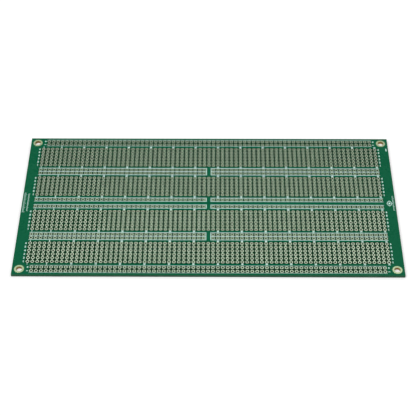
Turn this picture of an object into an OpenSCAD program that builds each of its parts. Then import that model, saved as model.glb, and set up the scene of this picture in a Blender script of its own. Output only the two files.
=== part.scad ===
// Prototype board: a drilled laminate with plated contact strips and power rails, for soldering up a circuit.
// All sizes are in millimetres. X runs along the board, Y from its front side to its back, Z up.
// The board lies on the undersides of its four mounting lands, at Z = 0.

/* [Hole grid] */
// Distance between neighbouring lead holes
pitch = 2.54; // [2.45:0.01:3]
// Columns of lead holes, an odd number, with one on the board's middle
columns = 75; // [9:2:99]
// Rows of lead holes in each block of contact strips
block_rows = 6; // [2:1:8]
// Diameter of a lead hole
hole_d = 1.0; // [0.7:0.05:1.3]
// Distance from a rail's holes to the next row of a block
block_gap = 3.81; // [3.6:0.01:6]
// Distance between the two middle rails
middle_gap = 5.08; // [4:0.01:8]
// Columns left out at each end of an outer rail
outer_rail_inset = 1; // [1:1:3]

/* [Board] */
// Thickness of the laminate under the strips
core_t = 1.5; // [0.7:0.05:3]
// Height of the mask over its copper fill, above the bare laminate
fill_t = 0.03; // [0.02:0.005:0.04]
// Distance from the last column's holes to the board's end
end_margin = 7.62; // [7.2:0.01:15]
// Distance from the last rail's holes to the board's long side
side_margin = 2.54; // [2.3:0.01:8]

/* [Contact strips and rails] */
// Diameter of the round pad at each hole
pad_d = 1.95; // [1.6:0.05:2.05]
// Width of the link from one pad of a strip or rail to the next
link_w = 0.4; // [0.3:0.05:1.4]
// Thickness of the plated copper
plate_t = 0.05; // [0.045:0.005:0.1]

/* [Mounting holes] */
// Diameter of the plated mounting hole
mount_d = 3.2; // [2.2:0.1:3.8]
// Diameter of the land round the mounting hole
land_d = 5.3; // [4.2:0.1:5.6]
// Distance from a mounting hole's middle to both edges of the board
mount_inset = 3.81; // [3.4:0.01:4.2]
// Bare ring between a land and the copper fill
land_clearance = 0.2; // [0.1:0.05:0.4]

/* [Printed frames] */
// Width of a printed line round the rails
line_w = 0.3; // [0.2:0.05:0.6]
// Distance from a pad to the printed line beside it
line_clearance = 0.145; // [0.05:0.005:0.15]
// Thickness of the print
line_t = 0.02; // [0.01:0.005:0.03]

/* [Hidden] */
$fn = 48;
// How far a cutting shape runs past the face that it cuts
past = 1;

// Columns from the middle to the last one on each side
last_column = (columns - 1) / 2;

// Rows, as distances from the board's middle
middle_rail_y = middle_gap / 2;
inner_block_y = middle_rail_y + block_gap;
inner_bus_y = inner_block_y + (block_rows - 1) * pitch + block_gap;
outer_bus_y = inner_bus_y + pitch;
outer_block_y = outer_bus_y + block_gap;
inner_edge_y = outer_block_y + (block_rows - 1) * pitch + block_gap;
outer_edge_y = inner_edge_y + pitch;

board_l = 2 * (last_column * pitch + end_margin);
board_w = 2 * (outer_edge_y + side_margin);

// Levels, from the undersides of the lands
core_bottom = plate_t;
core_top = core_bottom + core_t;

mount_x = board_l / 2 - mount_inset;
mount_y = board_w / 2 - mount_inset;

// Corners: name, side in X, side in Y
corners = [
    ["back_left", -1, 1],
    ["back_right", 1, 1],
    ["front_left", -1, -1],
    ["front_right", 1, -1]
];

// Blocks of strips: name, front row
blocks = [
    ["back_outer", outer_block_y],
    ["back_inner", inner_block_y],
    ["front_inner", -inner_block_y - (block_rows - 1) * pitch],
    ["front_outer", -outer_block_y - (block_rows - 1) * pitch]
];

// Rails: name, row, first column, last column
edge_column = last_column - outer_rail_inset;
rails = concat(
    [
        ["back_edge_outer", outer_edge_y, -edge_column, edge_column],
        ["back_edge_inner", inner_edge_y, -edge_column, edge_column],
        ["front_edge_inner", -inner_edge_y, -edge_column, edge_column],
        ["front_edge_outer", -outer_edge_y, -edge_column, edge_column]
    ],
    half_rails("back_bus_outer", outer_bus_y),
    half_rails("back_bus_inner", inner_bus_y),
    half_rails("middle_back", middle_rail_y),
    half_rails("middle_front", -middle_rail_y),
    half_rails("front_bus_inner", -inner_bus_y),
    half_rails("front_bus_outer", -outer_bus_y)
);

// A rail in two halves, which leave out the middle column
function half_rails(name, y) = [
    [str(name, "_left"), y, -last_column, -1],
    [str(name, "_right"), y, 1, last_column]
];

// Printed frames: name, first column, last column, rows of each cell as [front row, back row]
frames = concat(
    [
        ["back_edge", -edge_column, edge_column, [[inner_edge_y, outer_edge_y]]],
        ["front_edge", -edge_column, edge_column, [[-outer_edge_y, -inner_edge_y]]]
    ],
    half_frames("back_bus", [[inner_bus_y, inner_bus_y], [outer_bus_y, outer_bus_y]]),
    half_frames("middle_back", [[middle_rail_y, middle_rail_y]]),
    half_frames("middle_front", [[-middle_rail_y, -middle_rail_y]]),
    half_frames("front_bus", [[-inner_bus_y, -inner_bus_y], [-outer_bus_y, -outer_bus_y]])
);

function half_frames(name, cells) = [
    [str(name, "_left"), -last_column, -1, cells],
    [str(name, "_right"), 1, last_column, cells]
];

module at_corner(corner) {
    translate([corner[1] * mount_x, corner[2] * mount_y, 0]) children();
}

// Rectangle round the holes from one column and row to another, larger by the given border
module field(first, last, front_y, back_y, border) {
    translate([first * pitch - border, front_y - border])
        square([(last - first) * pitch + 2 * border, back_y - front_y + 2 * border]);
}

// Each cell of a frame, clear of the pads in it and then larger by the given line
module cells(frame, line) {
    for (cell = frame[3])
        field(frame[1], frame[2], cell[0], cell[1], pad_d / 2 + line_clearance + line);
}

module block_holes(block) {
    for (column = [-last_column : last_column], row = [0 : block_rows - 1])
        translate([column * pitch, block[1] + row * pitch])
            circle(d = hole_d);
}

module rail_holes(rail) {
    for (column = [rail[2] : rail[3]])
        translate([column * pitch, rail[1]])
            circle(d = hole_d);
}

// Row of round pads along X, a pitch apart, with a link from each to the next
module pad_row(pads) {
    translate([0, -link_w / 2]) square([(pads - 1) * pitch, link_w]);
    for (pad = [0 : pads - 1])
        translate([pad * pitch, 0]) circle(d = pad_d);
}

// Where the copper fill stops: each block, each cell of a frame and each mounting land
module fill_openings() {
    for (block = blocks)
        field(-last_column, last_column, block[1], block[1] + (block_rows - 1) * pitch, pitch / 2);
    for (frame = frames)
        cells(frame, 0);
    for (corner = corners)
        at_corner(corner) circle(d = land_d + 2 * land_clearance);
}

module fill_sheet() {
    linear_extrude(fill_t)
        difference() {
            square([board_l, board_w], center = true);
            fill_openings();
        }
}

module board() {
    color("seagreen")
        difference() {
            union() {
                translate([-board_l / 2, -board_w / 2, core_bottom])
                    cube([board_l, board_w, core_t]);
                translate([0, 0, core_top]) fill_sheet();
                translate([0, 0, core_bottom - fill_t]) fill_sheet();
            }
            translate([0, 0, -past])
                linear_extrude(core_top + 2 * past) {
                    for (block = blocks) block_holes(block);
                    for (rail = rails) rail_holes(rail);
                }
            for (corner = corners)
                at_corner(corner) translate([0, 0, -past])
                    cylinder(d = mount_d + 2 * plate_t, h = core_top + 2 * past);
        }
}

// Plated barrel with a flat land on each face of the board
module mounting_land(corner) {
    color("khaki")
        at_corner(corner)
            rotate_extrude() {
                translate([mount_d / 2, 0]) square([plate_t, core_t + 2 * plate_t]);
                for (z = [0, core_top])
                    translate([mount_d / 2, z]) square([(land_d - mount_d) / 2, plate_t]);
            }
}

module contact_strips(block) {
    color("khaki")
        translate([0, 0, core_top])
            linear_extrude(plate_t)
                difference() {
                    for (column = [-last_column : last_column])
                        translate([column * pitch, block[1]]) rotate(90) pad_row(block_rows);
                    block_holes(block);
                }
}

module rail_strip(rail) {
    color("khaki")
        translate([0, 0, core_top])
            linear_extrude(plate_t)
                difference() {
                    translate([rail[2] * pitch, rail[1]]) pad_row(rail[3] - rail[2] + 1);
                    rail_holes(rail);
                }
}

module printed_frame(frame) {
    color("honeydew")
        translate([0, 0, core_top + fill_t])
            linear_extrude(line_t)
                difference() {
                    cells(frame, line_w);
                    cells(frame, 0);
                }
}

board();
for (corner = corners)
    mounting_land(corner);
for (block = blocks)
    contact_strips(block);
for (rail = rails)
    rail_strip(rail);
for (frame = frames)
    printed_frame(frame);
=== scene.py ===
"""A drilled prototype board: green mask, plated pads on every lead hole, and white print."""
import logging
import math
from dataclasses import dataclass, field
from enum import Enum
from typing import Iterable, Sequence

import bmesh
import bpy
from mathutils import Matrix, Vector


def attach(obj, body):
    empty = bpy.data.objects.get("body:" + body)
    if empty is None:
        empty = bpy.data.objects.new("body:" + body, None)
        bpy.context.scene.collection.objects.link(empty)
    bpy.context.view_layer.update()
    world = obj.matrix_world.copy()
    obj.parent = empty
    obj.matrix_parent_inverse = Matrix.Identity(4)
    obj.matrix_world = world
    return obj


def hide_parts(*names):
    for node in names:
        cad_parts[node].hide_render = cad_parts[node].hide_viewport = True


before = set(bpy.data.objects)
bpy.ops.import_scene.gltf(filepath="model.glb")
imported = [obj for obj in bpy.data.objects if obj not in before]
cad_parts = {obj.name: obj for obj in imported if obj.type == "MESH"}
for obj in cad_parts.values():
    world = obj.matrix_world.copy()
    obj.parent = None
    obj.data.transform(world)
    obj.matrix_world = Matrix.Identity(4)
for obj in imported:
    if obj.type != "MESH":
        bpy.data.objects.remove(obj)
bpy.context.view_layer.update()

log = logging.getLogger("board")
MM = 0.001
# Distances that count as none, for cutting and for comparing
HAIR, NEAR = 1e-8, 1e-7
# A face lies flat where its normal points up or down by more than this
FLAT = 0.5
ACROSS, ALONG = Vector((1, 0, 0)), Vector((0, 1, 0))
Colour = Place = tuple[float, float, float]
Point = tuple[float, float]
Socket = str | int
Mesh, Vert, Face = bmesh.types.BMesh, bmesh.types.BMVert, bmesh.types.BMFace
Tree, Node = bpy.types.NodeTree, bpy.types.Node


def srgb(*parts: int) -> Colour:
    """Turns a colour as it is written on screen into the linear one that a shader takes.

    Args:
        *parts: Red, green and blue, from 0 to 255.

    Returns:
        The three linear values.
    """
    shares = (part / 255 for part in parts)
    return tuple(share / 12.92 if share <= 0.04045 else ((share + 0.055) / 1.055) ** 2.4 for share in shares)


class Side(Enum):
    """The two faces of the board."""
    TOP = 1
    UNDERSIDE = -1


class Skin(Enum):
    """What covers a face of the laminate, as its material slot."""
    MASK_ON_COPPER = 0
    MASK_ON_GLASS = 1
    CUT_EDGE = 2
    # The lead bores' plating, whose material is toned dark as painted shade inside the holes.
    BORE_PLATING = 3


# Sizes


@dataclass(frozen=True)
class Levels:
    """Heights of the board's layers, from the undersides of its mounting lands."""
    core_bottom: float = 0.05 * MM
    core_top: float = 1.55 * MM
    fill: float = 0.03 * MM
    plate: float = 0.05 * MM
    print_top: float = 1.60 * MM


@dataclass(frozen=True)
class Block:
    """A field of contact strips, with its front row in pitches from the board's middle."""
    name: str
    front_row: float
    rows: int = 6

    @property
    def back_row(self) -> float:
        """The row furthest to the back, in pitches."""
        return self.front_row + self.rows - 1


@dataclass(frozen=True)
class Rail:
    """A line of joined holes, with its row and its first and last column in pitches."""
    row: float
    first: int
    last: int


@dataclass(frozen=True)
class Frame:
    """Printed lines round rails, with the rows of each cell and the columns in pitches."""
    name: str
    cells: tuple[tuple[int, int], ...]
    first: int
    last: int


@dataclass(frozen=True)
class HoleGrid:
    """Where every lead hole is, and the windows in the copper fill round them."""
    pitch: float = 2.54 * MM
    last_column: int = 37
    edge_column: int = 36
    pad_r: float = 0.975 * MM
    # Plating is bare between these two radii. Inside the first, the mouth of the hole is painted dark as
    # shade; outside the second, the mask covers the rim.
    bare_ring: Point = (0.6 * MM, 0.92 * MM)
    bare_link: float = 0.18 * MM
    hole_r: float = 0.5 * MM
    line_clearance: float = 0.145 * MM

    @property
    def blocks(self) -> list[Block]:
        """The four fields of contact strips."""
        return [Block("back_outer", 11.5), Block("back_inner", 2.5),
                Block("front_inner", -7.5), Block("front_outer", -16.5)]

    @property
    def frames(self) -> list[Frame]:
        """The two frames of the edge rails and the eight of the half rails."""
        edge, end = self.edge_column, self.last_column
        found = [Frame("back_edge", ((18, 19),), -edge, edge),
                 Frame("front_edge", ((-19, -18),), -edge, edge)]
        for name, cells in (("back_bus", ((9, 9), (10, 10))), ("middle_back", ((1, 1),)),
                            ("middle_front", ((-1, -1),)), ("front_bus", ((-10, -10), (-9, -9)))):
            found += [Frame(name + "_left", cells, -end, -1), Frame(name + "_right", cells, 1, end)]
        return found

    @property
    def rails(self) -> list[Rail]:
        """The four edge rails and the twelve half rails."""
        return [Rail(row, lines.first, lines.last) for lines in self.frames
                for low, high in lines.cells for row in range(low, high + 1)]

    @property
    def cell_reach(self) -> float:
        """From a rail's holes to the printed line round them."""
        return self.pad_r + self.line_clearance

    def windows(self) -> list[tuple[float, float, float, float]]:
        """Where the copper fill stops.

        Returns:
            Lowest X, highest X, lowest Y and highest Y of each window.
        """
        pitch, half, reach = self.pitch, self.pitch / 2, self.cell_reach
        found = [(-self.last_column * pitch - half, self.last_column * pitch + half,
                  block.front_row * pitch - half, block.back_row * pitch + half) for block in self.blocks]
        return found + [(lines.first * pitch - reach, lines.last * pitch + reach, low * pitch - reach,
                         high * pitch + reach) for lines in self.frames for low, high in lines.cells]

    def hole_in(self, low: Vector, high: Vector) -> Vector | None:
        """Finds the lead hole inside a rectangle.

        Args:
            low: The rectangle's lowest corner.
            high: The rectangle's highest corner.

        Returns:
            The hole's middle, or None where there is no hole.
        """
        column = round((low.x + high.x) / 2 / self.pitch)
        if not low.x < column * self.pitch < high.x:
            return None
        rows = [Rail(block.front_row + step, -self.last_column, self.last_column)
                for block in self.blocks for step in range(block.rows)]
        for rail in rows + self.rails:
            if low.y < rail.row * self.pitch < high.y and rail.first <= column <= rail.last:
                return Vector((column * self.pitch, rail.row * self.pitch, low.z))
        return None


# Helpers


def add_object(name: str, data: bpy.types.ID) -> bpy.types.Object:
    """Adds an object to the scene.

    Args:
        name: Its name.
        data: Its mesh, text, lamp or camera.

    Returns:
        The new object.
    """
    made = bpy.data.objects.new(name, data)
    bpy.context.scene.collection.objects.link(made)
    return made


def finish_piece(name: str, mesh: Mesh, materials: Sequence[bpy.types.Material]) -> bpy.types.Object:
    """Makes an object of a finished mesh and lets it ride on the board.

    Args:
        name: The piece's name.
        mesh: Its mesh, in place, which is freed.
        materials: Its materials, in the order of its slots.

    Returns:
        The new object.
    """
    data = bpy.data.meshes.new(name)
    mesh.to_mesh(data)
    mesh.free()
    for material in materials:
        data.materials.append(material)
    piece = add_object(name, data)
    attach(piece, "root")
    log.info("%s: %d faces", name, len(data.polygons))
    return piece


def thicken(mesh: Mesh, faces: Sequence[Face], height: float,
            keep: bool) -> list[Face]:
    """Pulls faces out of a sheet along Z and turns all faces outward.

    Args:
        mesh: The mesh that they are in.
        faces: The faces to pull.
        height: How far, down where it is negative.
        keep: Whether the sheet stays behind as the other face of a solid.

    Returns:
        The new faces, walls included.
    """
    made = bmesh.ops.extrude_face_region(mesh, geom=list(faces), use_keep_orig=True)["geom"]
    points = [item for item in made if isinstance(item, Vert)]
    bmesh.ops.translate(mesh, vec=(0, 0, height), verts=points)
    if not keep:
        bmesh.ops.delete(mesh, geom=list(faces), context="FACES")
    bmesh.ops.recalc_face_normals(mesh, faces=mesh.faces[:])
    return [item for item in made if isinstance(item, Face)]


def everything(mesh: Mesh) -> list[Vert | bmesh.types.BMEdge | Face]:
    """All the points, edges and faces of a mesh."""
    return mesh.verts[:] + mesh.edges[:] + mesh.faces[:]


def cut(mesh: Mesh, normal: Vector, places: Iterable[float]) -> None:
    """Cuts a mesh in planes.

    Args:
        mesh: The mesh.
        normal: The direction across the planes.
        places: How far each plane is from the origin, in that direction.
    """
    for place in places:
        bmesh.ops.bisect_plane(mesh, geom=everything(mesh), dist=HAIR, plane_co=normal * place,
                               plane_no=normal)


def repeat(mesh: Mesh, count: int, step: float) -> None:
    """Copies all that a mesh holds along X.

    Args:
        mesh: The mesh.
        count: How many there are in the end.
        step: The distance from each to the next.
    """
    first = everything(mesh)
    for number in range(1, count):
        copy = bmesh.ops.duplicate(mesh, geom=first)["geom"]
        bmesh.ops.translate(mesh, vec=(number * step, 0, 0),
                            verts=[item for item in copy if isinstance(item, Vert)])


def face_box(face: Face) -> tuple[Vector, Vector]:
    """The lowest and the highest corner of a face."""
    spots = [corner.co for corner in face.verts]
    return (Vector(min(spot[axis] for spot in spots) for axis in range(3)),
            Vector(max(spot[axis] for spot in spots) for axis in range(3)))


# Finishes


def wire(tree: Tree, links: Iterable[tuple[Node, Socket, Node, Socket]]) -> None:
    """Joins nodes.

    Args:
        tree: The node tree.
        links: For each link, a node and its output, then a node and its input.
    """
    for source, output, target, entry in links:
        tree.links.new(source.outputs[output], target.inputs[entry])


def put(node: Node, values: dict[Socket, float | Sequence[float]]) -> None:
    """Sets constant values on a node's own inputs."""
    for key, value in values.items():
        node.inputs[key].default_value = value


def add_nodes(tree: Tree, *kinds: str) -> list[Node]:
    """Adds shader nodes.

    Args:
        tree: The node tree.
        *kinds: The kind of each node, without the words that they all start with.

    Returns:
        The new nodes, in that order.
    """
    return [tree.nodes.new("ShaderNode" + kind) for kind in kinds]


def reckon(tree: Tree, operation: str, second: float | None = None) -> Node:
    """Adds a node that reckons with one or two values.

    Args:
        tree: The node tree.
        operation: What it does with them.
        second: The second value, where it is a constant.

    Returns:
        The new node.
    """
    made, = add_nodes(tree, "Math")
    made.operation = operation
    if second is not None:
        put(made, {1: second})
    return made


class SurfaceGroups:
    """The node groups that more than one finish uses, each built once."""

    def __init__(self) -> None:
        """Builds the groups."""
        self.mottle = self._mottle()
        self.weave = self._weave()
        self.cover = self._cover(HoleGrid())

    @staticmethod
    def _new(name: str, inputs: dict[str, float],
             outputs: Sequence[str]) -> tuple[Tree, Node, Node]:
        """Starts a group.

        Args:
            name: The group's name.
            inputs: Each number it takes beside its vector, with its usual value.
            outputs: The values it gives.

        Returns:
            The group, its input node and its output node.
        """
        group = bpy.data.node_groups.new(name, "ShaderNodeTree")
        group.interface.new_socket("Vector", in_out="INPUT", socket_type="NodeSocketVector")
        for key, value in inputs.items():
            entry = group.interface.new_socket(key, in_out="INPUT", socket_type="NodeSocketFloat")
            entry.default_value = value
        for key in outputs:
            group.interface.new_socket(key, in_out="OUTPUT", socket_type="NodeSocketFloat")
        return group, group.nodes.new("NodeGroupInput"), group.nodes.new("NodeGroupOutput")

    def _mottle(self) -> Tree:
        """Broad cloudiness with fine grain on top.

        Returns:
            The group, which gives a mask from 0 to 1 and a height.
        """
        group, start, end = self._new("cloud and grain", {"Cloud Scale": 40.0, "Grain Scale": 900.0,
                                                          "Grain Share": 0.4}, ("Mask", "Height"))
        cloud, grain, mix, spread = add_nodes(group, "TexNoise", "TexNoise", "Mix", "MapRange")
        put(cloud, {"Detail": 3.0})
        put(grain, {"Detail": 2.0})
        put(spread, {"From Min": 0.3, "From Max": 0.7})
        wire(group, [(start, "Vector", cloud, "Vector"), (start, "Vector", grain, "Vector"),
                     (start, "Cloud Scale", cloud, "Scale"), (start, "Grain Scale", grain, "Scale"),
                     (start, "Grain Share", mix, "Factor"), (cloud, "Fac", mix, 2), (grain, "Fac", mix, 3),
                     (mix, 0, spread, "Value"), (spread, "Result", end, "Mask"),
                     (grain, "Fac", end, "Height")])
        return group

    def _weave(self) -> Tree:
        """The crossing bundles of the glass cloth under the mask.

        Returns:
            The group, which gives a mask and a height.
        """
        group, start, end = self._new("glass cloth", {"Bundles": 1700.0}, ("Mask", "Height"))
        waves, both = add_nodes(group, "TexWave", "TexWave"), reckon(group, "MULTIPLY")
        for number, (wave, turn) in enumerate(zip(waves, "XY")):
            wave.bands_direction = turn
            put(wave, {"Distortion": 0.6})
            wire(group, [(start, "Vector", wave, "Vector"), (start, "Bundles", wave, "Scale"),
                         (wave, "Fac", both, number)])
        wire(group, [(both, 0, end, "Mask"), (both, 0, end, "Height")])
        return group

    def _cover(self, grid: HoleGrid) -> Tree:
        """Where plated copper isn't bare: painted shade inside a small ring at each hole's mouth, and mask
        off a larger ring round each hole and beside a link along Y.

        Args:
            grid: The hole grid.

        Returns:
            The group, whose shift moves the rings along Y.
        """
        group, start, end = self._new("cover over copper", {"Shift": 0.0, "Link": 0.0}, ("Mask",))
        parts, flat, away = add_nodes(group, "SeparateXYZ", "CombineXYZ", "VectorMath")
        away.operation = "LENGTH"
        across, along = (reckon(group, "PINGPONG", grid.pitch / 2) for _ in range(2))
        moved, off_link = reckon(group, "ADD"), reckon(group, "GREATER_THAN")
        # Inside this radius the plating is painted dark as shade at the hole's mouth.
        painted_mouth_shade = reckon(group, "LESS_THAN", grid.bare_ring[0])
        off_pad = reckon(group, "GREATER_THAN", grid.bare_ring[1])
        beside, either = reckon(group, "MULTIPLY"), reckon(group, "MAXIMUM")
        wire(group, [(start, "Vector", parts, 0), (parts, "X", across, 0), (parts, "Y", moved, 0),
                     (start, "Shift", moved, 1), (moved, 0, along, 0), (across, 0, flat, "X"),
                     (along, 0, flat, "Y"), (flat, 0, away, 0), (away, "Value", painted_mouth_shade, 0),
                     (away, "Value", off_pad, 0), (across, 0, off_link, 0), (start, "Link", off_link, 1),
                     (off_pad, 0, beside, 0), (off_link, 0, beside, 1), (painted_mouth_shade, 0, either, 0),
                     (beside, 0, either, 1), (either, 0, end, "Mask")])
        return group


@dataclass(frozen=True)
class Finish:
    """A surface of this board, with two tones that the cloud and grain mask mixes."""
    name: str
    tone: Colour
    other_tone: Colour
    roughness: tuple[float, float]
    cloud: float = 40.0
    grain: float = 900.0
    grain_share: float = 0.4
    metallic: float = 0.0
    specular: float = 0.5
    relief: float = 0.01 * MM
    weave: float = 0.0
    weave_shade: float = 0.55
    relief_strength: float = 0.5

    def material(self, groups: SurfaceGroups) -> bpy.types.Material:
        """Builds the material.

        Args:
            groups: The shared node groups.

        Returns:
            The new material.
        """
        made = bpy.data.materials.new(self.name)
        made.use_nodes = True
        tree = made.node_tree
        shader = tree.nodes["Principled BSDF"]
        place, mottle, tones, rough = add_nodes(tree, "TexCoord", "Group", "Mix", "MapRange")
        mottle.node_tree = groups.mottle
        tones.data_type = "RGBA"
        put(mottle, {"Cloud Scale": self.cloud, "Grain Scale": self.grain, "Grain Share": self.grain_share})
        put(tones, {6: (*self.tone, 1), 7: (*self.other_tone, 1)})
        put(rough, {"To Min": self.roughness[0], "To Max": self.roughness[1]})
        put(shader, {"Metallic": self.metallic, "Specular IOR Level": self.specular})
        wire(tree, [(place, "Object", mottle, "Vector"), (mottle, "Mask", tones, 0),
                    (mottle, "Mask", rough, "Value"), (tones, 2, shader, "Base Color"),
                    (rough, "Result", shader, "Roughness")])
        uneven = mottle
        if self.weave:
            cloth, darker = add_nodes(tree, "Group", "Mix")
            share = reckon(tree, "MULTIPLY", self.weave)
            cloth.node_tree = groups.weave
            darker.data_type = "RGBA"
            put(darker, {7: (*[part * self.weave_shade for part in self.tone], 1)})
            wire(tree, [(place, "Object", cloth, "Vector"), (cloth, "Mask", share, 0), (share, 0, darker, 0),
                        (tones, 2, darker, 6), (darker, 2, shader, "Base Color")])
            uneven = cloth
        bump, = add_nodes(tree, "Bump")
        put(bump, {"Distance": self.relief, "Strength": self.relief_strength})
        wire(tree, [(uneven, "Height", bump, "Height"), (bump, "Normal", shader, "Normal")])
        return made


class Palette:
    """Every material of the board."""

    def __init__(self) -> None:
        """Builds the materials."""
        groups = SurfaceGroups()
        self.mask_on_copper = Finish("mask over copper", srgb(3, 88, 57), srgb(9, 95, 63), (0.22, 0.36),
                                     specular=0.06).material(groups)
        self.mask_on_glass = Finish("mask over glass cloth", srgb(7, 42, 20), srgb(16, 54, 28), (0.3, 0.45),
                                    specular=0.06, weave=0.35).material(groups)
        self.cut_edge = Finish("cut glass epoxy", srgb(46, 92, 66), srgb(36, 76, 54), (0.6, 0.85),
                               cloud=220.0, grain=1500.0, specular=0.2, relief=0.02 * MM).material(groups)
        self.plating = Finish("pale gold plating", srgb(222, 243, 215), srgb(204, 227, 198), (0.13, 0.24),
                              cloud=160.0, grain=1400.0, grain_share=0.5, metallic=1.0,
                              specular=0.06).material(groups)
        self.land_plating = Finish("olive gold plating", srgb(192, 212, 170), srgb(176, 196, 154),
                                   (0.18, 0.3), cloud=160.0, grain=1400.0, grain_share=0.5,
                                   metallic=1.0).material(groups)
        # Gold plating of the mounting barrels, toned darker brown than the lands as painted shade inside the
        # bores.
        self.barrel_plating = Finish("barrel plating", srgb(168, 140, 86), srgb(130, 106, 62), (0.35, 0.55),
                                     cloud=200.0, grain=1600.0, metallic=1.0).material(groups)
        # The dark colours over the pad rims and hole mouths are painted shade. Between the pads they stand
        # for mask over glass.
        self.rail_plating = self._cover_rims(self.plating, "rail plating", groups, srgb(5, 62, 39), 0.0, 0.0)
        self.strip_plating = self._cover_rims(self.plating, "strip plating", groups, srgb(7, 46, 22),
                                              HoleGrid.pitch / 2, HoleGrid.bare_link)
        # Plated lead bores, toned dark brown and only partly metallic as painted shade inside the holes.
        self.lead_bore = Finish("lead bore painted dark as shade", srgb(54, 48, 34), srgb(38, 33, 23), (0.5, 0.7),
                                cloud=200.0, grain=1600.0, metallic=0.6, specular=0.2).material(groups)
        self.ink = Finish("white print", srgb(206, 243, 233), srgb(186, 225, 214), (0.5, 0.7),
                          cloud=300.0, grain=2600.0, grain_share=0.6, specular=0.3,
                          relief=0.008 * MM).material(groups)

    @staticmethod
    def _cover_rims(plated: bpy.types.Material, name: str, groups: SurfaceGroups, mask: Colour, shift: float,
                    link: float) -> bpy.types.Material:
        """Lays the mask over the rims of the pads in a dark tone that paints the shade of their step, and
        paints shade into the mouths of their holes.

        Args:
            plated: The plating, which is copied.
            name: The new material's name.
            groups: The shared node groups.
            mask: The colour laid where the plating is covered: mask over glass between the pads, and painted
                shade over the pad rims and hole mouths, darker than mask over copper would be.
            shift: How far the rows of holes stand off whole pitches along Y.
            link: Half the width of the bare link along Y, or 0.

        Returns:
            The new material.
        """
        made = plated.copy()
        made.name = name
        tree = made.node_tree
        shader = tree.nodes["Principled BSDF"]
        plain = shader.inputs["Base Color"].links[0].from_node
        place, cover, tones = add_nodes(tree, "TexCoord", "Group", "Mix")
        bare = reckon(tree, "SUBTRACT")
        cover.node_tree = groups.cover
        tones.data_type = "RGBA"
        put(cover, {"Shift": shift, "Link": link})
        put(bare, {0: 1.0})
        put(tones, {7: (*mask, 1)})
        wire(tree, [(place, "Object", cover, "Vector"), (cover, "Mask", bare, 1), (cover, "Mask", tones, 0),
                    (plain, 2, tones, 6), (tones, 2, shader, "Base Color"), (bare, 0, shader, "Metallic")])
        return made


# Laminate


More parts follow.
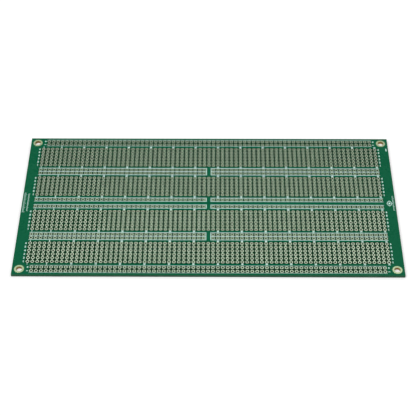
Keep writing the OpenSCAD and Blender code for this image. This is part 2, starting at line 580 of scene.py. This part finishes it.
@dataclass
class Laminate:
    """The drilled glass epoxy board, with raised mask over its copper fill and plated bores."""
    grid: HoleGrid
    levels: Levels
    length: float = 203.2 * MM
    width: float = 101.6 * MM
    bore_r: float = 0.56 * MM
    ring_inset: float = 0.32 * MM
    mount: Point = (97.79 * MM, 46.99 * MM)
    mount_r: float = 1.65 * MM
    opening_r: float = 2.85 * MM
    mount_sides: int = 48
    corner_row: float = 17
    edge_slack: float = 0.01 * MM

    def _cuts(self) -> tuple[list[float], list[float]]:
        """Where the sheet is cut into cells.

        Returns:
            The places of the cuts along X and along Y.
        """
        grid, pitch, reach = self.grid, self.grid.pitch, self.grid.cell_reach
        across = {(step + 0.5) * pitch for step in range(-grid.last_column - 1, grid.last_column + 1)}
        along = {(block.front_row + step - 0.5) * pitch for block in grid.blocks
                 for step in range(block.rows + 1)}
        for lines in grid.frames:
            across |= {lines.first * pitch - reach, lines.last * pitch + reach}
            for low, high in lines.cells:
                along |= {low * pitch - reach, high * pitch + reach}
                along |= {(row + 0.5) * pitch for row in range(low, high)}
        return sorted(across), sorted(along)

    def _cells(self, mesh: Mesh) -> None:
        """Cuts a flat sheet into cells, each with the slot of its skin.

        Args:
            mesh: The empty mesh that it is made in.
        """
        bmesh.ops.create_grid(mesh, x_segments=1, y_segments=1, size=0.5)
        bmesh.ops.scale(mesh, vec=(self.length, self.width, 1), verts=mesh.verts)
        bmesh.ops.translate(mesh, vec=(0, 0, self.levels.core_top), verts=mesh.verts)
        across, along = self._cuts()
        cut(mesh, ACROSS, across)
        cut(mesh, ALONG, along)
        windows = self.grid.windows()
        for face in mesh.faces:
            middle = face.calc_center_median()
            opened = any(low_x < middle.x < high_x and low_y < middle.y < high_y
                         for low_x, high_x, low_y, high_y in windows)
            face.material_index = (Skin.MASK_ON_GLASS if opened else Skin.MASK_ON_COPPER).value

    def _drill(self, mesh: Mesh) -> None:
        """Opens an eight-sided bore in each cell that has a lead hole.

        Args:
            mesh: The sheet of cells.
        """
        eighth = math.pi / 4
        holes: dict[Face, Vector] = {}
        for face in mesh.faces:
            middle = self.grid.hole_in(*face_box(face))
            if middle is not None:
                holes[face] = middle
        rims = {edge for face in holes for edge in face.edges}
        bmesh.ops.bisect_edges(mesh, edges=list(rims), cuts=1)
        bmesh.ops.inset_individual(mesh, faces=list(holes), thickness=self.ring_inset, use_even_offset=True)
        for face, middle in holes.items():
            for corner in face.verts:
                away = corner.co - middle
                turn = round(math.atan2(away.y, away.x) / eighth) * eighth
                corner.co = middle + Vector((math.cos(turn), math.sin(turn), 0)) * self.bore_r
        bmesh.ops.delete(mesh, geom=list(holes), context="FACES_ONLY")
        log.info("lead holes: %d", len(holes))

    def _mounting_holes(self, mesh: Mesh) -> None:
        """Opens the four corner holes, each with a bare ring round its land.

        Args:
            mesh: The sheet of cells.
        """
        pitch = self.grid.pitch
        for side_x in (-1, 1):
            for side_y in (-1, 1):
                corner = [face for face in mesh.faces
                          if side_x * face.calc_center_median().x > (self.grid.edge_column + 0.5) * pitch
                          and side_y * face.calc_center_median().y > self.corner_row * pitch]
                panel = bmesh.ops.dissolve_faces(mesh, faces=corner, use_verts=False)["region"][0]
                rim = panel.edges[:]
                bmesh.ops.delete(mesh, geom=[panel], context="FACES_ONLY")
                place = Vector((side_x * self.mount[0], side_y * self.mount[1], self.levels.core_top))
                circle = bmesh.ops.create_circle(mesh, cap_ends=True, segments=self.mount_sides,
                                                 radius=self.opening_r, matrix=Matrix.Translation(place))
                disc = circle["verts"][0].link_faces[0]
                rim += disc.edges[:]
                disc.material_index = Skin.MASK_ON_GLASS.value
                bmesh.ops.inset_individual(mesh, faces=[disc], thickness=self.opening_r - self.mount_r,
                                           use_even_offset=True)
                bmesh.ops.delete(mesh, geom=[disc], context="FACES_ONLY")
                filled = bmesh.ops.triangle_fill(mesh, edges=rim, use_beauty=True, normal=(0, 0, 1))["geom"]
                for face in filled:
                    if isinstance(face, Face):
                        face.material_index = Skin.MASK_ON_COPPER.value

    def build(self, palette: Palette) -> bpy.types.Object:
        """Builds the board and lets it stand for the CAD one.

        Args:
            palette: The board's materials.

        Returns:
            The finished piece.
        """
        mesh = bmesh.new()
        self._cells(mesh)
        self._mounting_holes(mesh)
        self._drill(mesh)
        thicken(mesh, mesh.faces[:], self.levels.core_bottom - self.levels.core_top, keep=True)
        end, side = self.length / 2 - self.edge_slack, self.width / 2 - self.edge_slack
        for face in mesh.faces:
            if abs(face.normal.z) < FLAT:
                middle = face.calc_center_median()
                outer = abs(middle.x) > end or abs(middle.y) > side
                face.material_index = (Skin.CUT_EDGE if outer else Skin.BORE_PLATING).value
                face.smooth = not outer
        for side in Side:
            raised = [face for face in mesh.faces if face.normal.z * side.value > FLAT
                      and face.material_index == Skin.MASK_ON_COPPER.value]
            for face in thicken(mesh, raised, side.value * self.levels.fill, keep=False):
                face.smooth = False
        piece = finish_piece("laminate", mesh, [palette.mask_on_copper, palette.mask_on_glass,
                                                palette.cut_edge, palette.lead_bore])
        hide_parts("board")
        return piece


# Copper


@dataclass
class PadRow:
    """A row of round pads along X with a link from each to the next, as a plate."""
    grid: HoleGrid
    thickness: float
    sides: int = 12

    def _ring(self, mesh: Mesh) -> None:
        """Adds one flat pad with its hole at the origin, flat sides towards its neighbours.

        Args:
            mesh: The mesh.
        """
        half_turn = math.pi / self.sides
        made = bmesh.ops.create_circle(mesh, cap_ends=True, segments=self.sides,
                                       radius=self.grid.pad_r)["verts"]
        bmesh.ops.rotate(mesh, verts=made, cent=(0, 0, 0), matrix=Matrix.Rotation(half_turn, 3, "Z"))
        disc = made[0].link_faces[0]
        width = (self.grid.pad_r - self.grid.hole_r) * math.cos(half_turn)
        bmesh.ops.inset_individual(mesh, faces=[disc], thickness=width, use_even_offset=True)
        bmesh.ops.delete(mesh, geom=[disc], context="FACES_ONLY")

    def sheet(self, count: int) -> Mesh:
        """Builds the row as a flat sheet.

        Args:
            count: How many pads it has.

        Returns:
            The sheet, with its first pad at the origin.
        """
        mesh = bmesh.new()
        self._ring(mesh)
        repeat(mesh, count, self.grid.pitch)
        ends = [edge for edge in mesh.edges if edge.is_boundary
                and abs(sum(spot.co.y for spot in edge.verts)) < NEAR
                and abs(edge.verts[0].co.x - edge.verts[1].co.x) < NEAR]
        ends.sort(key=lambda edge: edge.verts[0].co.x)
        # Each pad has four such edges: one rim, two sides of its hole and the other rim.
        for step in range(count - 1):
            bmesh.ops.contextual_create(mesh, geom=[ends[4 * step + 3], ends[4 * step + 4]])
        return mesh

    def plate(self, mesh: Mesh) -> None:
        """Gives a sheet of pads its thickness, from Z = 0 up.

        Args:
            mesh: The sheet.
        """
        thicken(mesh, mesh.faces[:], self.thickness, keep=True)
        for face in mesh.faces:
            face.smooth = abs(face.normal.z) < FLAT


@dataclass
class UndersidePads:
    """The same strips and rails on the underside, where the leads are soldered."""
    grid: HoleGrid
    levels: Levels

    def build(self, palette: Palette) -> list[bpy.types.Object]:
        """Builds one piece for each block and one for all the rails.

        Args:
            palette: The board's materials.

        Returns:
            The finished pieces.
        """
        row = PadRow(self.grid, self.levels.plate)
        pitch = self.grid.pitch
        pieces = []
        for block in self.grid.blocks:
            mesh = row.sheet(block.rows)
            bmesh.ops.rotate(mesh, verts=mesh.verts, cent=(0, 0, 0),
                             matrix=Matrix.Rotation(math.pi / 2, 3, "Z"))
            bmesh.ops.translate(mesh, verts=mesh.verts,
                                vec=(-self.grid.last_column * pitch, block.front_row * pitch, 0))
            repeat(mesh, 2 * self.grid.last_column + 1, pitch)
            row.plate(mesh)
            pieces.append(finish_piece("underside_strips_" + block.name, mesh, [palette.plating]))
        rails = bmesh.new()
        for rail in self.grid.rails:
            one = row.sheet(rail.last - rail.first + 1)
            bmesh.ops.translate(one, verts=one.verts, vec=(rail.first * pitch, rail.row * pitch, 0))
            data = bpy.data.meshes.new("rail")
            one.to_mesh(data)
            one.free()
            rails.from_mesh(data)
            bpy.data.meshes.remove(data)
        row.plate(rails)
        pieces.append(finish_piece("underside_rails", rails, [palette.rail_plating]))
        return pieces


@dataclass
class MountingLand:
    """A plated barrel with a round land on each face of the board."""
    name: str
    place: Point
    levels: Levels
    hole_r: float = 1.6 * MM
    land_r: float = 2.57 * MM
    mouth_round: float = 0.03 * MM
    barrel_share: float = 0.4
    smooth_below: float = 0.99
    sides: int = 64

    def build(self, palette: Palette) -> bpy.types.Object:
        """Builds the land and lets it stand for the CAD one.

        Args:
            palette: The board's materials.

        Returns:
            The finished piece.
        """
        plate, top = self.levels.plate, self.levels.core_top + self.levels.plate
        outline = [(self.hole_r, 0), (self.land_r, 0), (self.land_r, plate), (self.hole_r + plate, plate),
                   (self.hole_r + plate, top - plate), (self.land_r, top - plate), (self.land_r, top),
                   (self.hole_r, top)]
        mesh = bmesh.new()
        spots = [mesh.verts.new((away, 0, height)) for away, height in outline]
        for spot, following in zip(spots, spots[1:] + spots[:1]):
            mesh.edges.new((spot, following))
        bmesh.ops.spin(mesh, geom=mesh.verts[:] + mesh.edges[:], cent=(0, 0, 0), axis=(0, 0, 1),
                       angle=2 * math.pi, steps=self.sides, use_merge=True)
        bmesh.ops.remove_doubles(mesh, verts=mesh.verts, dist=NEAR)
        rims = [edge for edge in mesh.edges if edge.verts[0].co.z == edge.verts[1].co.z
                and edge.verts[0].co.z in (spots[0].co.z, spots[-1].co.z)
                and abs(edge.verts[0].co.xy.length - edge.verts[1].co.xy.length) < NEAR]
        bmesh.ops.bevel(mesh, geom=rims, offset=self.mouth_round, offset_type="OFFSET", affect="EDGES",
                        segments=2, profile=0.5, material=-1)
        bmesh.ops.translate(mesh, vec=(*self.place, 0), verts=mesh.verts)
        bmesh.ops.recalc_face_normals(mesh, faces=mesh.faces[:])
        for face in mesh.faces:
            away = (face.calc_center_median().xy - Vector(self.place)).length
            # The barrel faces take the plating toned darker as painted shade.
            face.material_index = int(away < self.hole_r + self.barrel_share * plate)
            face.smooth = abs(face.normal.z) < self.smooth_below
        piece = finish_piece("plated_" + self.name, mesh, [palette.land_plating, palette.barrel_plating])
        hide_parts(self.name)
        return piece


# Print


@dataclass(frozen=True)
class Scale:
    """A plain printed scale along Y, with its column, its ends and its tick lengths in pitches."""
    column: float
    low: float
    high: float
    wide: float
    step: float
    lead: float = 0.33
    short: float = 0.62
    long_every: int = 5
    spine: float = 0.1 * MM
    tick: float = 0.16 * MM
    overlap: float = 0.2 * MM


@dataclass
class Print:
    """The printed numbers and marks, each a thin solid of ink. Places are in pitches and sizes in metres."""
    grid: HoleGrid
    levels: Levels
    ink: bpy.types.Material
    line: float = 0.3 * MM
    edge_line: float = 0.15 * MM
    line_thickness: float = 0.02 * MM
    figure_thickness: float = 0.05 * MM
    boldness: float = 0.06
    columns: tuple[int, ...] = (1, *range(5, 76, 5))
    column_tall: float = 1.1 * MM
    column_wide: float = 0.9
    column_away: float = 0.62
    row_tall: float = 1.35 * MM
    row_columns: Point = (-37.85, 37.8)
    sign_column: float = 36.8
    sign_bar: Point = (1.0 * MM, 0.36 * MM)
    sign_arm: Point = (0.36 * MM, 0.34 * MM)
    sign_arm_away: float = 0.35 * MM
    scales: tuple[Scale, ...] = (Scale(-39.5, -2.7, 2.9, 0.5, 0.26), Scale(-38.7, -2.4, 2.6, 0.3, 0.2),
                                 Scale(39.55, -2.0, 2.2, 0.34, 0.24))
    target: Point = (38.7, 0.06)
    target_stretch: float = 1.35
    target_rings: tuple[Point, ...] = ((1.3 * MM, 1.0 * MM), (0.5 * MM, 0.0))
    target_sides: int = 32
    arms_away: Point = (1.55 * MM, 2.05 * MM)
    arm_sizes: tuple[Point, Point] = ((0.4 * MM, 0.2 * MM), (0.2 * MM, 0.5 * MM))
    corner_bar: Point = (39.52, 16.45)
    corner_bar_size: Point = (0.55 * MM, 2.1 * MM)
    figures: dict[str, bpy.types.Mesh] = field(default_factory=dict)

    def _figure(self, text: str) -> bpy.types.Mesh:
        """A number one unit tall, centred, flat and made once.

        Args:
            text: The number.

        Returns:
            Its mesh.
        """
        if text not in self.figures:
            curve = bpy.data.curves.new("figure", "FONT")
            curve.body = text
            curve.align_x, curve.align_y = "CENTER", "CENTER"
            curve.resolution_u = 2
            curve.offset = self.boldness
            holder = add_object("figure", curve)
            flat = holder.evaluated_get(bpy.context.evaluated_depsgraph_get())
            self.figures[text] = bpy.data.meshes.new_from_object(flat)
            bpy.data.objects.remove(holder)
        return self.figures[text]

    def _stamp(self, mesh: Mesh, text: str, place: Point, tall: float, wide: float = 1.0) -> None:
        """Adds a flat number to a mesh.

        Args:
            mesh: The mesh.
            text: The number.
            place: Its middle.
            tall: Its height in metres.
            wide: Its width, as a share of the usual one.
        """
        kept = set(mesh.verts)
        mesh.from_mesh(self._figure(text))
        new = [spot for spot in mesh.verts if spot not in kept]
        low = min(spot.co.y for spot in new)
        high = max(spot.co.y for spot in new)
        size = tall / (high - low)
        bmesh.ops.translate(mesh, verts=new, vec=(0, -(low + high) / 2, 0))
        bmesh.ops.scale(mesh, verts=new, vec=(size * wide, size, 1))
        bmesh.ops.translate(mesh, verts=new, vec=(*place, 0))

    def _bar(self, mesh: Mesh, place: Point, size: Point) -> None:
        """Adds a flat bar to a mesh.

        Args:
            mesh: The mesh.
            place: The bar's middle.
            size: Its size along X and Y.
        """
        made = bmesh.ops.create_grid(mesh, x_segments=1, y_segments=1, size=0.5)["verts"]
        bmesh.ops.scale(mesh, vec=(*size, 1), verts=made)
        bmesh.ops.translate(mesh, vec=(*place, 0), verts=made)

    def _ring(self, mesh: Mesh, place: Point, outer: float, inner: float) -> None:
        """Adds a flat ring to a mesh, longer along Y than along X.

        Args:
            mesh: The mesh.
            place: The ring's middle.
            outer: Its outer radius along X.
            inner: Its inner radius along X, or 0 for a dot.
        """
        made = bmesh.ops.create_circle(mesh, cap_ends=True, segments=self.target_sides, radius=outer)["verts"]
        if inner:
            disc = made[0].link_faces[0]
            bmesh.ops.inset_individual(mesh, faces=[disc], thickness=outer - inner, use_even_offset=True)
            made = list({spot for spot in disc.verts} | set(made))
            bmesh.ops.delete(mesh, geom=[disc], context="FACES_ONLY")
        bmesh.ops.scale(mesh, vec=(1, self.target_stretch, 1), verts=made)
        bmesh.ops.translate(mesh, vec=(*place, 0), verts=made)

    def _piece(self, name: str, mesh: Mesh, thickness: float) -> bpy.types.Object:
        """Gives flat figures their thickness and makes them a piece.

        Args:
            name: The piece's name.
            mesh: The flat figures, at Z = 0.
            thickness: How far they reach down from the print's top.

        Returns:
            The finished piece.
        """
        bmesh.ops.remove_doubles(mesh, verts=mesh.verts, dist=HAIR)
        bmesh.ops.translate(mesh, vec=(0, 0, self.levels.print_top - thickness), verts=mesh.verts)
        thicken(mesh, mesh.faces[:], thickness, keep=True)
        return finish_piece(name, mesh, [self.ink])

    def rail_lines(self) -> None:
        """Prints the lines beside the rails, closed at the board's middle and open at its ends."""
        pitch, reach = self.grid.pitch, self.grid.cell_reach
        for lines in self.grid.frames:
            line = self.edge_line if lines.name.endswith("edge") else self.line
            first, last = lines.first * pitch - reach, lines.last * pitch + reach
            rows = [(low * pitch - reach, high * pitch + reach) for low, high in lines.cells]
            west = first - (line if lines.first == 1 else 0)
            east = last + (line if lines.last == -1 else 0)
            mesh = bmesh.new()
            self._bar(mesh, ((west + east) / 2, (rows[0][0] + rows[-1][1]) / 2),
                      (east - west, rows[-1][1] - rows[0][0] + 2 * line))
            cut(mesh, ACROSS, (first, last))
            cut(mesh, ALONG, [place for row in rows for place in row])
            middles = {face: face.calc_center_median() for face in mesh.faces}
            windows = [face for face, middle in middles.items()
                       if first < middle.x < last and any(low < middle.y < high for low, high in rows)]
            bmesh.ops.delete(mesh, geom=windows, context="FACES")
            piece = self._piece("rail_lines_" + lines.name, mesh, self.line_thickness)
            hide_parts("printed_frame_" + lines.name)

    def column_numbers(self) -> None:
        """Prints every fifth column's number before and behind each block."""
        pitch, middle = self.grid.pitch, self.grid.last_column + 1
        for block in self.grid.blocks:
            mesh = bmesh.new()
            for row in (block.front_row - self.column_away, block.back_row + self.column_away):
                for column in self.columns:
                    self._stamp(mesh, str(column), ((column - middle) * pitch, row * pitch), self.column_tall,
                                self.column_wide)
            self._piece("column_numbers_" + block.name, mesh, self.figure_thickness)

    def row_numbers(self) -> None:
        """Prints each row's number at both ends of the blocks, and a sign at both ends of the edge rails."""
        pitch = self.grid.pitch
        mesh = bmesh.new()
        for block in self.grid.blocks:
            for step in range(block.rows):
                for column in self.row_columns:
                    self._stamp(mesh, str(step + 1), (column * pitch, (block.front_row + step) * pitch),
                                self.row_tall)
        for row, plus in ((-19, False), (-18, True), (18, False), (19, True)):
            for column in (-self.sign_column, self.sign_column):
                self._bar(mesh, (column * pitch, row * pitch), self.sign_bar)
                if plus:
                    for away in (-self.sign_arm_away, self.sign_arm_away):
                        self._bar(mesh, (column * pitch, row * pitch + away), self.sign_arm)
        self._piece("row_numbers", mesh, self.figure_thickness)

    def _scale(self, mesh: Mesh, scale: Scale) -> None:
        """Adds a flat scale to a mesh: a spine with ticks to its right.

        Args:
            mesh: The mesh.
            scale: What the scale is like.
        """
        pitch = self.grid.pitch
        foot, span = scale.column - scale.lead * scale.wide, scale.high - scale.low
        self._bar(mesh, (foot * pitch - scale.spine / 2, (scale.low + scale.high) / 2 * pitch),
                  (scale.spine, span * pitch + scale.overlap))
        steps = round(span / scale.step)
        for step in range(steps + 1):
            long = scale.wide if step % scale.long_every == 0 else scale.wide * scale.short
            self._bar(mesh, ((foot + long / 2) * pitch, (scale.low + span * step / steps) * pitch),
                      (long * pitch, scale.tick))

    def margin_marks(self) -> None:
        """Prints plain scales in both end margins, a registration mark and a short bar."""
        pitch = self.grid.pitch
        mesh = bmesh.new()
        for scale in self.scales:
            self._scale(mesh, scale)
        x, y = self.target[0] * pitch, self.target[1] * pitch
        for outer, inner in self.target_rings:
            self._ring(mesh, (x, y), outer, inner)
        for side in (-1, 1):
            self._bar(mesh, (x + side * self.arms_away[0], y), self.arm_sizes[0])
            self._bar(mesh, (x, y + side * self.arms_away[1]), self.arm_sizes[1])
        self._bar(mesh, (self.corner_bar[0] * pitch, self.corner_bar[1] * pitch), self.corner_bar_size)
        self._piece("margin_marks", mesh, self.figure_thickness)


# Studio


@dataclass(frozen=True)
class Lamp:
    """A soft square lamp that faces the board, with its place, its side and its power in watts."""
    name: str
    place: Place
    side: float
    power: float


@dataclass
class Studio:
    """The floor, the lamps, the white surroundings and the camera."""
    camera_place: Place = (0.003899, -0.439617, 0.467974)
    camera_turn: Place = (43.075, 0.1695, 0.3704)
    lens: float = 101.973
    sensor: float = 36.0
    clip: Point = (0.01, 20.0)
    lamps: tuple[Lamp, ...] = (Lamp("key", (-0.7, -0.3, 1.3), 0.9, 9.0),
                               Lamp("fill", (0.9, 0.6, 1.1), 0.9, 4.5))
    floor_size: float = 6.0
    floor_drop: float = 0.02 * MM
    floor_tone: float = 0.95
    floor_glow: float = 1.6
    glow_share: float = 0.2
    room_strength: float = 0.55
    room_band: float = 0.662
    room_rise: tuple[float, float, float, float] = (0.0, 0.075, 0.22, 1.02)

    def floor(self) -> None:
        """Lays a white floor that keeps the board's shadow."""
        mesh = bmesh.new()
        bmesh.ops.create_grid(mesh, x_segments=1, y_segments=1, size=self.floor_size / 2)
        bmesh.ops.translate(mesh, vec=(0, 0, -self.floor_drop), verts=mesh.verts)
        data = bpy.data.meshes.new("floor")
        mesh.to_mesh(data)
        mesh.free()
        piece = add_object("floor", data)
        made = bpy.data.materials.new("pale floor")
        made.use_nodes = True
        tree = made.node_tree
        shader, end = tree.nodes["Principled BSDF"], tree.nodes["Material Output"]
        glow, path, mix = add_nodes(tree, "Emission", "LightPath", "MixShader")
        share = reckon(tree, "MULTIPLY", self.glow_share)
        put(shader, {"Base Color": (self.floor_tone,) * 3 + (1,), "Roughness": 0.9})
        put(glow, {"Strength": self.floor_glow})
        wire(tree, [(self._seen(tree, path), 0, share, 0), (share, 0, mix, 0), (shader, 0, mix, 1),
                    (glow, 0, mix, 2), (mix, 0, end, "Surface")])
        data.materials.append(made)

    @staticmethod
    def _seen(tree: Tree, path: Node) -> Node:
        """Adds up the rays of the eye, of gloss and of glass.

        Args:
            tree: The node tree.
            path: Its light path node.

        Returns:
            A node that gives 1 for those rays.
        """
        total, key = path, "Is Camera Ray"
        for name in ("Is Glossy Ray", "Is Transmission Ray"):
            add = reckon(tree, "ADD")
            add.use_clamp = True
            wire(tree, [(total, key, add, 0), (path, name, add, 1)])
            total, key = add, 0
        return total

    def surroundings(self) -> None:
        """Makes the world white to the eye and gentle as a light, with a darker band in its reflection."""
        world = bpy.data.worlds.new("white room")
        bpy.context.scene.world = world
        world.use_nodes = True
        tree = world.node_tree
        back = tree.nodes["Background"]
        path, place, parts, level, rise, room = add_nodes(tree, "LightPath", "TexCoord", "SeparateXYZ",
                                                          "MapRange", "MapRange", "Mix")
        off_band, away = reckon(tree, "SUBTRACT", self.room_band), reckon(tree, "ABSOLUTE")
        put(back, {"Color": (1, 1, 1, 1)})
        put(level, {"To Min": self.room_strength, "To Max": 1.0})
        put(rise, dict(zip(("From Min", "From Max", "To Min", "To Max"), self.room_rise)))
        rise.interpolation_type = "SMOOTHSTEP"
        wire(tree, [(self._seen(tree, path), 0, level, "Value"), (place, "Generated", parts, 0),
                    (parts, "Z", off_band, 0), (off_band, 0, away, 0), (away, 0, rise, "Value"),
                    (path, "Is Glossy Ray", room, 0), (level, "Result", room, 2), (rise, "Result", room, 3),
                    (room, 0, back, "Strength")])

    @staticmethod
    def hang(lamp: Lamp) -> None:
        """Hangs a lamp over the board.

        Args:
            lamp: The lamp.
        """
        data = bpy.data.lights.new(lamp.name, "AREA")
        data.size = lamp.side
        data.energy = lamp.power
        holder = add_object(lamp.name, data)
        holder.location = lamp.place
        holder.rotation_euler = (-Vector(lamp.place)).to_track_quat("-Z", "Y").to_euler()

    def camera(self) -> None:
        """Sets up the camera at the photograph's place."""
        data = bpy.data.cameras.new("view")
        data.lens = self.lens
        data.sensor_width = self.sensor
        data.clip_start, data.clip_end = self.clip
        holder = add_object("view", data)
        holder.location = self.camera_place
        holder.rotation_euler = tuple(math.radians(turn) for turn in self.camera_turn)
        bpy.context.scene.camera = holder

    def build(self) -> None:
        """Sets up the whole studio."""
        self.camera()
        self.floor()
        self.surroundings()
        for lamp in self.lamps:
            self.hang(lamp)
        bpy.context.scene.view_settings.view_transform = "Standard"


def dress(prefix: str, material: bpy.types.Material) -> None:
    """Gives the CAD nodes whose name starts that way a better material.

    Args:
        prefix: The start of their names.
        material: Their new material.
    """
    for name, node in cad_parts.items():
        if name.startswith(prefix):
            for slot in node.material_slots:
                slot.material = material


def main() -> None:
    """Builds the board and its studio."""
    grid, levels = HoleGrid(), Levels()
    Studio().build()
    palette = Palette()
    laminate = Laminate(grid, levels)
    laminate.build(palette)
    UndersidePads(grid, levels).build(palette)
    for name, side_x, side_y in (("back_left", -1, 1), ("back_right", 1, 1),
                                 ("front_left", -1, -1), ("front_right", 1, -1)):
        MountingLand("mounting_land_" + name, (side_x * laminate.mount[0], side_y * laminate.mount[1]),
                     levels).build(palette)
    dress("contact_strips_", palette.strip_plating)
    dress("rail_", palette.rail_plating)
    printed = Print(grid, levels, palette.ink)
    printed.rail_lines()
    printed.column_numbers()
    printed.row_numbers()
    printed.margin_marks()


if __name__ == "__main__":
    logging.basicConfig(level=logging.INFO, format="%(message)s")
    main()
